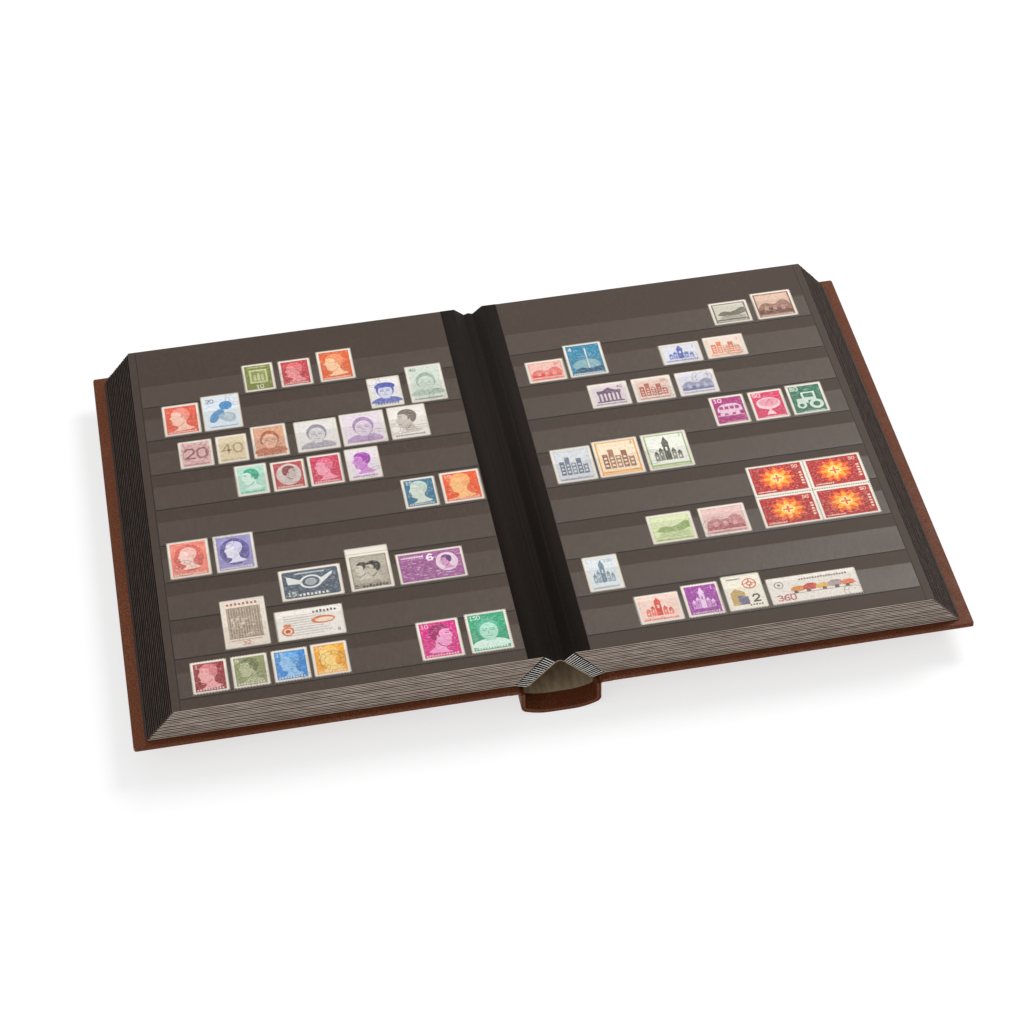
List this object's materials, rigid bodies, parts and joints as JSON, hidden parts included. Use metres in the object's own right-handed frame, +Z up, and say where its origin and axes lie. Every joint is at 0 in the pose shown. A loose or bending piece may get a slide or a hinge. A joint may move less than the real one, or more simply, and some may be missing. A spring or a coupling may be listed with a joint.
{
  "type": "stamp album",
  "caption": "Hardcover stamp stockbook lying open in the middle: hollow spine, black card leaves on linen hinges, clear pocket strips with stamps.",
  "frame": {"origin": "centre of the album's footprint, at the height of the flat facet under the spine on which the open album stands", "axes": "+X from the spine towards the back cover's fore edge, +Y towards the head of the pages, +Z up out of the open pages"},
  "size_m": [0.4648, 0.305, 0.041],
  "materials": {
    "leatherette": "satin embossed leatherette, dark brown",
    "greyboard": "matt greyboard",
    "lining_paper": "matt kraft lining paper, beige",
    "endpaper": "matt black endpaper",
    "page_card": "matt black card with pale cut edges",
    "guard_card": "white-cored card under black linen",
    "clear_film": "clear glossy film",
    "stamp_paper": "printed, gummed and perforated paper"
  },
  "bodies": {
    "back_cover": {"back_board": "greyboard", "back_leatherette": "leatherette", "back_endpaper": "endpaper", "back_joint_strip": "leatherette", "back_block_lining": "lining_paper", "right_leaves_1": "page_card"},
    "spine": {"spine_board": "greyboard", "spine_leatherette": "leatherette", "spine_lining": "lining_paper"},
    "front_cover": {"front_board": "greyboard", "front_leatherette": "leatherette", "front_endpaper": "endpaper", "front_joint_strip": "leatherette", "front_block_lining": "lining_paper", "left_leaves_1": "page_card"},
    "right_guards_1": {"right_guards_1": "guard_card"},
    "right_leaves_2": {"right_leaves_2": "page_card"},
    "right_guards_2": {"right_guards_2": "guard_card"},
    "right_leaves_3": {"right_leaves_3": "page_card"},
    "right_guards_3": {"right_guards_3": "guard_card"},
    "right_leaves_4": {"right_leaves_4": "page_card"},
    "right_guards_4": {"right_guards_4": "guard_card"},
    "right_leaves_5": {"right_leaves_5": "page_card"},
    "right_guards_5": {"right_guards_5": "guard_card"},
    "right_leaves_6": {"right_leaves_6": "page_card"},
    "right_guards_6": {"right_guards_6": "guard_card"},
    "right_leaves_7": {"right_leaves_7": "page_card"},
    "right_guards_7": {"right_guards_7": "guard_card"},
    "right_leaves_8": {"right_leaves_8": "page_card", "next_page_pockets": "clear_film"},
    "right_guards_8": {"right_guards_8": "guard_card"},
    "left_guards_1": {"left_guards_1": "guard_card"},
    "left_leaves_2": {"left_leaves_2": "page_card"},
    "left_guards_2": {"left_guards_2": "guard_card"},
    "left_leaves_3": {"left_leaves_3": "page_card"},
    "left_guards_3": {"left_guards_3": "guard_card"},
    "left_leaves_4": {"left_leaves_4": "page_card"},
    "left_guards_4": {"left_guards_4": "guard_card"},
    "left_leaves_5": {"left_leaves_5": "page_card"},
    "left_guards_5": {"left_guards_5": "guard_card"},
    "left_leaves_6": {"left_leaves_6": "page_card"},
    "left_guards_6": {"left_guards_6": "guard_card"},
    "left_leaves_7": {"left_leaves_7": "page_card"},
    "left_guards_7": {"left_guards_7": "guard_card"},
    "left_leaves_8": {"left_leaves_8": "page_card", "left_pockets": "clear_film", "left_stamps": "stamp_paper"},
    "left_guards_8": {"left_guards_8": "guard_card"},
    "turning_leaf": {"turning_leaf": "page_card", "right_pockets": "clear_film", "right_stamps": "stamp_paper", "verso_pockets": "clear_film"},
    "loose_stamp_1": {"loose_stamp_1": "stamp_paper"},
    "loose_stamp_2": {"loose_stamp_2": "stamp_paper"},
    "loose_stamp_3": {"loose_stamp_3": "stamp_paper"},
    "loose_stamp_4": {"loose_stamp_4": "stamp_paper"},
    "loose_stamp_5": {"loose_stamp_5": "stamp_paper"}
  },
  "joints": [
    {"name": "close_album", "type": "hinge", "parent": "back_cover", "child": "spine", "pos_m": [0.0236, 0, 0.0176], "axis": [0, 1, 0], "range_deg": [0, 90], "deforming": ["back_joint_strip", "back_block_lining"]},
    {"name": "front_joint", "type": "hinge", "parent": "spine", "child": "front_cover", "pos_m": [-0.0236, 0, 0.0176], "axis": [0, 1, 0], "range_deg": [0, 90], "deforming": ["front_joint_strip", "front_block_lining"]},
    {"name": "right_guard_fold_1", "type": "hinge", "parent": "back_cover", "child": "right_guards_1", "pos_m": [0.02474, 0, 0.02204], "axis": [0, 1, 0], "range_deg": [0, 18.38]},
    {"name": "right_shift_2", "type": "slide", "parent": "back_cover", "child": "right_leaves_2", "axis": [1, 0, 0], "range_m": [0, 0.00244]},
    {"name": "right_guard_fold_2", "type": "hinge", "parent": "right_leaves_2", "child": "right_guards_2", "pos_m": [0.02252, 0, 0.02452], "axis": [0, 1, 0], "range_deg": [0, 19.84]},
    {"name": "right_shift_3", "type": "slide", "parent": "back_cover", "child": "right_leaves_3", "axis": [1, 0, 0], "range_m": [0, 0.00488]},
    {"name": "right_guard_fold_3", "type": "hinge", "parent": "right_leaves_3", "child": "right_guards_3", "pos_m": [0.02029, 0, 0.027], "axis": [0, 1, 0], "range_deg": [0, 21.31]},
    {"name": "right_shift_4", "type": "slide", "parent": "back_cover", "child": "right_leaves_4", "axis": [1, 0, 0], "range_m": [0, 0.00732]},
    {"name": "right_guard_fold_4", "type": "hinge", "parent": "right_leaves_4", "child": "right_guards_4", "pos_m": [0.01806, 0, 0.02948], "axis": [0, 1, 0], "range_deg": [0, 22.78]},
    {"name": "right_shift_5", "type": "slide", "parent": "back_cover", "child": "right_leaves_5", "axis": [1, 0, 0], "range_m": [0, 0.00976]},
    {"name": "right_guard_fold_5", "type": "hinge", "parent": "right_leaves_5", "child": "right_guards_5", "pos_m": [0.01584, 0, 0.03196], "axis": [0, 1, 0], "range_deg": [0, 24.24]},
    {"name": "right_shift_6", "type": "slide", "parent": "back_cover", "child": "right_leaves_6", "axis": [1, 0, 0], "range_m": [0, 0.0122]},
    {"name": "right_guard_fold_6", "type": "hinge", "parent": "right_leaves_6", "child": "right_guards_6", "pos_m": [0.01361, 0, 0.03444], "axis": [0, 1, 0], "range_deg": [0, 25.71]},
    {"name": "right_shift_7", "type": "slide", "parent": "back_cover", "child": "right_leaves_7", "axis": [1, 0, 0], "range_m": [0, 0.01464]},
    {"name": "right_guard_fold_7", "type": "hinge", "parent": "right_leaves_7", "child": "right_guards_7", "pos_m": [0.01138, 0, 0.03692], "axis": [0, 1, 0], "range_deg": [0, 27.18]},
    {"name": "right_shift_8", "type": "slide", "parent": "back_cover", "child": "right_leaves_8", "axis": [1, 0, 0], "range_m": [0, 0.01708]},
    {"name": "right_guard_fold_8", "type": "hinge", "parent": "right_leaves_8", "child": "right_guards_8", "pos_m": [0.00916, 0, 0.0394], "axis": [0, 1, 0], "range_deg": [0, 28.64]},
    {"name": "left_guard_fold_1", "type": "hinge", "parent": "front_cover", "child": "left_guards_1", "pos_m": [-0.02474, 0, 0.02204], "axis": [0, -1, 0], "range_deg": [0, 18.38]},
    {"name": "left_shift_2", "type": "slide", "parent": "front_cover", "child": "left_leaves_2", "axis": [-1, 0, 0], "range_m": [0, 0.00244]},
    {"name": "left_guard_fold_2", "type": "hinge", "parent": "left_leaves_2", "child": "left_guards_2", "pos_m": [-0.02252, 0, 0.02452], "axis": [0, -1, 0], "range_deg": [0, 19.84]},
    {"name": "left_shift_3", "type": "slide", "parent": "front_cover", "child": "left_leaves_3", "axis": [-1, 0, 0], "range_m": [0, 0.00488]},
    {"name": "left_guard_fold_3", "type": "hinge", "parent": "left_leaves_3", "child": "left_guards_3", "pos_m": [-0.02029, 0, 0.027], "axis": [0, -1, 0], "range_deg": [0, 21.31]},
    {"name": "left_shift_4", "type": "slide", "parent": "front_cover", "child": "left_leaves_4", "axis": [-1, 0, 0], "range_m": [0, 0.00732]},
    {"name": "left_guard_fold_4", "type": "hinge", "parent": "left_leaves_4", "child": "left_guards_4", "pos_m": [-0.01806, 0, 0.02948], "axis": [0, -1, 0], "range_deg": [0, 22.78]},
    {"name": "left_shift_5", "type": "slide", "parent": "front_cover", "child": "left_leaves_5", "axis": [-1, 0, 0], "range_m": [0, 0.00976]},
    {"name": "left_guard_fold_5", "type": "hinge", "parent": "left_leaves_5", "child": "left_guards_5", "pos_m": [-0.01584, 0, 0.03196], "axis": [0, -1, 0], "range_deg": [0, 24.24]},
    {"name": "left_shift_6", "type": "slide", "parent": "front_cover", "child": "left_leaves_6", "axis": [-1, 0, 0], "range_m": [0, 0.0122]},
    {"name": "left_guard_fold_6", "type": "hinge", "parent": "left_leaves_6", "child": "left_guards_6", "pos_m": [-0.01361, 0, 0.03444], "axis": [0, -1, 0], "range_deg": [0, 25.71]},
    {"name": "left_shift_7", "type": "slide", "parent": "front_cover", "child": "left_leaves_7", "axis": [-1, 0, 0], "range_m": [0, 0.01464]},
    {"name": "left_guard_fold_7", "type": "hinge", "parent": "left_leaves_7", "child": "left_guards_7", "pos_m": [-0.01138, 0, 0.03692], "axis": [0, -1, 0], "range_deg": [0, 27.18]},
    {"name": "left_shift_8", "type": "slide", "parent": "front_cover", "child": "left_leaves_8", "axis": [-1, 0, 0], "range_m": [0, 0.01708]},
    {"name": "left_guard_fold_8", "type": "hinge", "parent": "left_leaves_8", "child": "left_guards_8", "pos_m": [-0.00916, 0, 0.0394], "axis": [0, -1, 0], "range_deg": [0, 28.64]},
    {"name": "turn_leaf", "type": "hinge", "parent": "right_leaves_8", "child": "turning_leaf", "pos_m": [0.0086, 0, 0.04107], "axis": [0, 1, 0], "range_deg": [-180, 0]},
    {"name": "lift_stamp_1", "type": "slide", "parent": "left_leaves_8", "child": "loose_stamp_1", "axis": [0, 1, 0], "range_m": [0, 0.02]},
    {"name": "lift_stamp_2", "type": "slide", "parent": "left_leaves_8", "child": "loose_stamp_2", "axis": [0, 1, 0], "range_m": [0, 0.02]},
    {"name": "lift_stamp_3", "type": "slide", "parent": "left_leaves_8", "child": "loose_stamp_3", "axis": [0, 1, 0], "range_m": [0, 0.02]},
    {"name": "lift_stamp_4", "type": "slide", "parent": "turning_leaf", "child": "loose_stamp_4", "axis": [0, 1, 0], "range_m": [0, 0.02]},
    {"name": "lift_stamp_5", "type": "slide", "parent": "turning_leaf", "child": "loose_stamp_5", "axis": [0, 1, 0], "range_m": [0, 0.02]}
  ],
  "couplings": [
    {"joint": "front_joint", "follows": "close_album", "ratio": 1},
    {"joint": "right_guard_fold_1", "follows": "close_album", "ratio": 0.20408},
    {"joint": "right_shift_2", "follows": "close_album", "m_per_rad": 0.0015534},
    {"joint": "right_guard_fold_2", "follows": "close_album", "ratio": 0.22037},
    {"joint": "right_shift_3", "follows": "close_album", "m_per_rad": 0.0031067},
    {"joint": "right_guard_fold_3", "follows": "close_album", "ratio": 0.23667},
    {"joint": "right_shift_4", "follows": "close_album", "m_per_rad": 0.0046601},
    {"joint": "right_guard_fold_4", "follows": "close_album", "ratio": 0.25297},
    {"joint": "right_shift_5", "follows": "close_album", "m_per_rad": 0.0062134},
    {"joint": "right_guard_fold_5", "follows": "close_album", "ratio": 0.26926},
    {"joint": "right_shift_6", "follows": "close_album", "m_per_rad": 0.0077668},
    {"joint": "right_guard_fold_6", "follows": "close_album", "ratio": 0.28556},
    {"joint": "right_shift_7", "follows": "close_album", "m_per_rad": 0.0093201},
    {"joint": "right_guard_fold_7", "follows": "close_album", "ratio": 0.30186},
    {"joint": "right_shift_8", "follows": "close_album", "m_per_rad": 0.010873},
    {"joint": "right_guard_fold_8", "follows": "close_album", "ratio": 0.31814},
    {"joint": "left_guard_fold_1", "follows": "close_album", "ratio": 0.20408},
    {"joint": "left_shift_2", "follows": "close_album", "m_per_rad": 0.0015534},
    {"joint": "left_guard_fold_2", "follows": "close_album", "ratio": 0.22037},
    {"joint": "left_shift_3", "follows": "close_album", "m_per_rad": 0.0031067},
    {"joint": "left_guard_fold_3", "follows": "close_album", "ratio": 0.23667},
    {"joint": "left_shift_4", "follows": "close_album", "m_per_rad": 0.0046601},
    {"joint": "left_guard_fold_4", "follows": "close_album", "ratio": 0.25297},
    {"joint": "left_shift_5", "follows": "close_album", "m_per_rad": 0.0062134},
    {"joint": "left_guard_fold_5", "follows": "close_album", "ratio": 0.26926},
    {"joint": "left_shift_6", "follows": "close_album", "m_per_rad": 0.0077668},
    {"joint": "left_guard_fold_6", "follows": "close_album", "ratio": 0.28556},
    {"joint": "left_shift_7", "follows": "close_album", "m_per_rad": 0.0093201},
    {"joint": "left_guard_fold_7", "follows": "close_album", "ratio": 0.30186},
    {"joint": "left_shift_8", "follows": "close_album", "m_per_rad": 0.010873},
    {"joint": "left_guard_fold_8", "follows": "close_album", "ratio": 0.31814}
  ]
}
